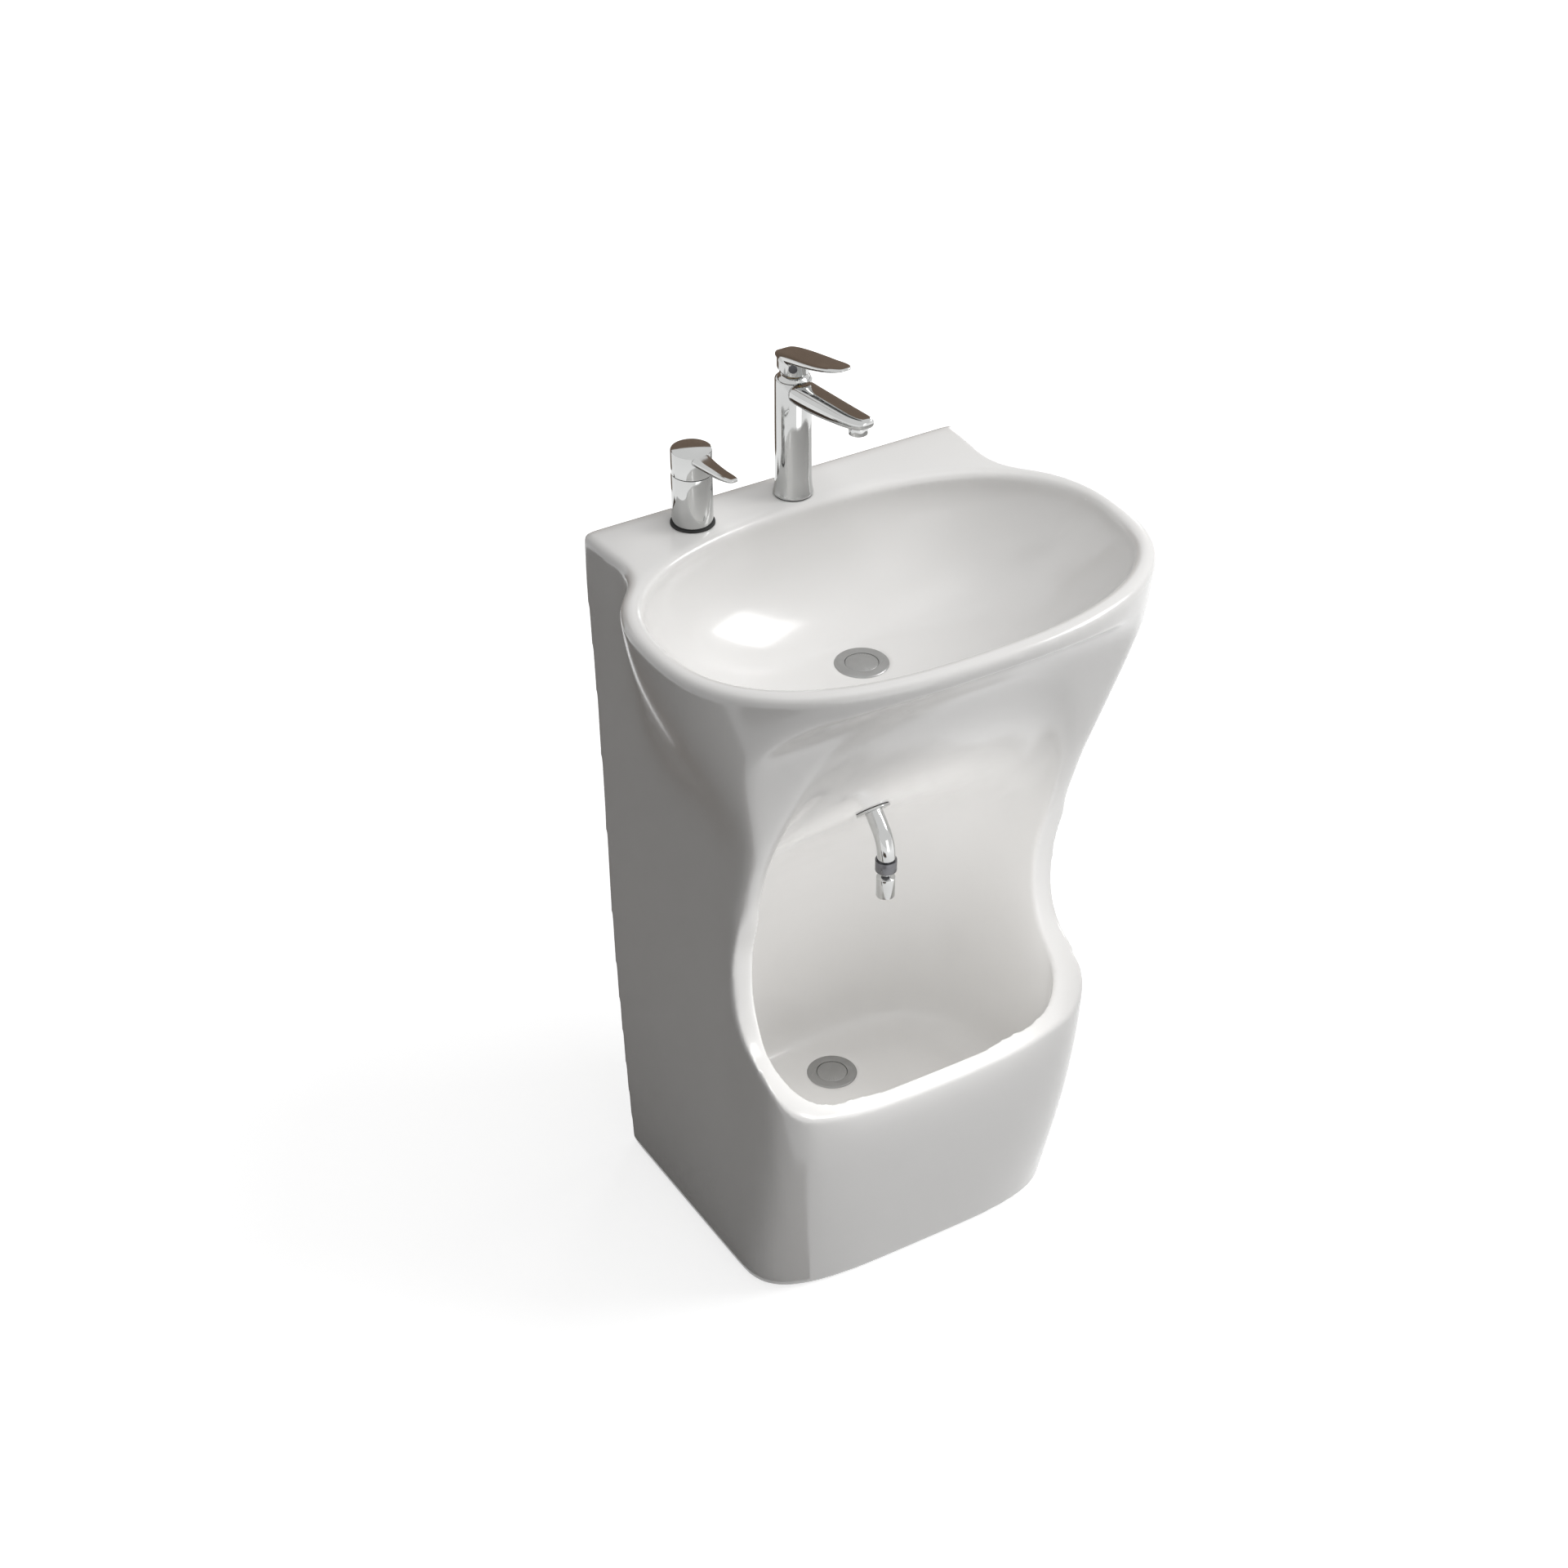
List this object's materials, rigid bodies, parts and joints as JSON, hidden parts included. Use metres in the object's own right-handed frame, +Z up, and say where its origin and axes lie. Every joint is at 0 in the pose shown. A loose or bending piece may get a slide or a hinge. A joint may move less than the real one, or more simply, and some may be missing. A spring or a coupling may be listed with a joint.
{
  "type": "pedestal sink",
  "caption": "Free-standing ceramic pedestal sink with an oval hand basin, a foot-wash alcove, a lever mixer, a foot valve and a swivelling foot spout.",
  "frame": {"origin": "centre of the overall bounding box at floor level", "axes": "+X to the user's right when facing the sink, +Y towards the wall behind, +Z up"},
  "size_m": [0.5936, 0.4392, 1.0826],
  "materials": {
    "white_glaze": "gloss",
    "black_rubber": "matt",
    "white_plastic": "satin",
    "brass": "satin",
    "stainless_steel": "satin",
    "grey_plastic": "gloss",
    "chrome_plate": "polished"
  },
  "bodies": {
    "basin": {"hand_basin_casting": "white_glaze", "column_casting": "white_glaze", "foot_basin_casting": "white_glaze", "bowl_waste_body": "stainless_steel", "bowl_plug_holder": "white_plastic", "foot_waste_body": "stainless_steel", "foot_plug_holder": "white_plastic", "waste_seals": "black_rubber", "waste_washers": "white_plastic", "waste_locknuts": "white_plastic", "slip_washers": "black_rubber", "slip_nuts": "white_plastic", "bowl_waste_pipe": "white_plastic", "foot_waste_elbow": "white_plastic", "waste_tee": "white_plastic", "tap_shanks": "brass", "clamp_rubbers": "black_rubber", "clamp_plates": "stainless_steel", "clamp_nuts": "brass", "mixer_gasket": "black_rubber", "mixer_body": "chrome_plate", "mixer_cartridge": "white_plastic", "mixer_cartridge_nut": "brass", "mixer_aerator": "chrome_plate", "mixer_aerator_insert": "white_plastic", "mixer_hot_tail": "brass", "mixer_cold_tail": "brass", "valve_gasket": "black_rubber", "valve_body": "chrome_plate", "valve_headwork": "brass", "valve_headwork_nut": "brass", "valve_inlet_tail": "brass", "valve_outlet_tail": "brass", "foot_spout_arm": "chrome_plate", "foot_spout_seal": "black_rubber", "foot_spout_escutcheon": "chrome_plate", "foot_spout_washer": "white_plastic", "foot_spout_locknut": "brass", "foot_nozzle_seal": "black_rubber", "feed_pipe": "brass", "feed_union_nut": "brass", "feed_valve_nut": "brass"},
    "mixer_turret": {"mixer_rotor": "white_plastic"},
    "mixer_handle": {"mixer_spindle": "brass", "mixer_lever": "chrome_plate", "mixer_index_button": "grey_plastic", "mixer_lever_screw": "stainless_steel"},
    "foot_valve_handle": {"valve_spindle": "brass", "valve_handle": "chrome_plate", "valve_handle_screw": "stainless_steel"},
    "bowl_stopper": {"bowl_plug": "stainless_steel"},
    "foot_stopper": {"foot_plug": "stainless_steel"},
    "spout_collar": {"foot_spout_collar": "chrome_plate"},
    "spout_nozzle": {"foot_nozzle": "chrome_plate", "foot_nozzle_insert": "white_plastic"}
  },
  "joints": [
    {"name": "mixer_turn", "type": "hinge", "parent": "basin", "child": "mixer_turret", "pos_m": [0, 0.175, 1.02], "axis": [0, 0, 1], "range_deg": [-45, 45]},
    {"name": "mixer_lift", "type": "hinge", "parent": "mixer_turret", "child": "mixer_handle", "pos_m": [0, 0.175, 1.024], "axis": [-1, 0, 0], "range_deg": [0, 20]},
    {"name": "foot_valve_turn", "type": "hinge", "parent": "basin", "child": "foot_valve_handle", "pos_m": [-0.127, 0.175, 0.95], "axis": [0, 0, 1], "range_deg": [-90, 0]},
    {"name": "bowl_plug_press", "type": "slide", "parent": "basin", "child": "bowl_stopper", "axis": [0, 0, 1], "range_m": [0, 0.008]},
    {"name": "foot_plug_press", "type": "slide", "parent": "basin", "child": "foot_stopper", "axis": [0, 0, 1], "range_m": [0, 0.008]},
    {"name": "nozzle_turn", "type": "hinge", "parent": "basin", "child": "spout_collar", "pos_m": [0, -0.02698, 0.50431], "axis": [0, 0, 1], "range_deg": [-90, 90]},
    {"name": "nozzle_tilt", "type": "hinge", "parent": "spout_collar", "child": "spout_nozzle", "pos_m": [0, -0.02698, 0.50271], "axis": [1, 0, 0], "range_deg": [-12, 12]}
  ]
}
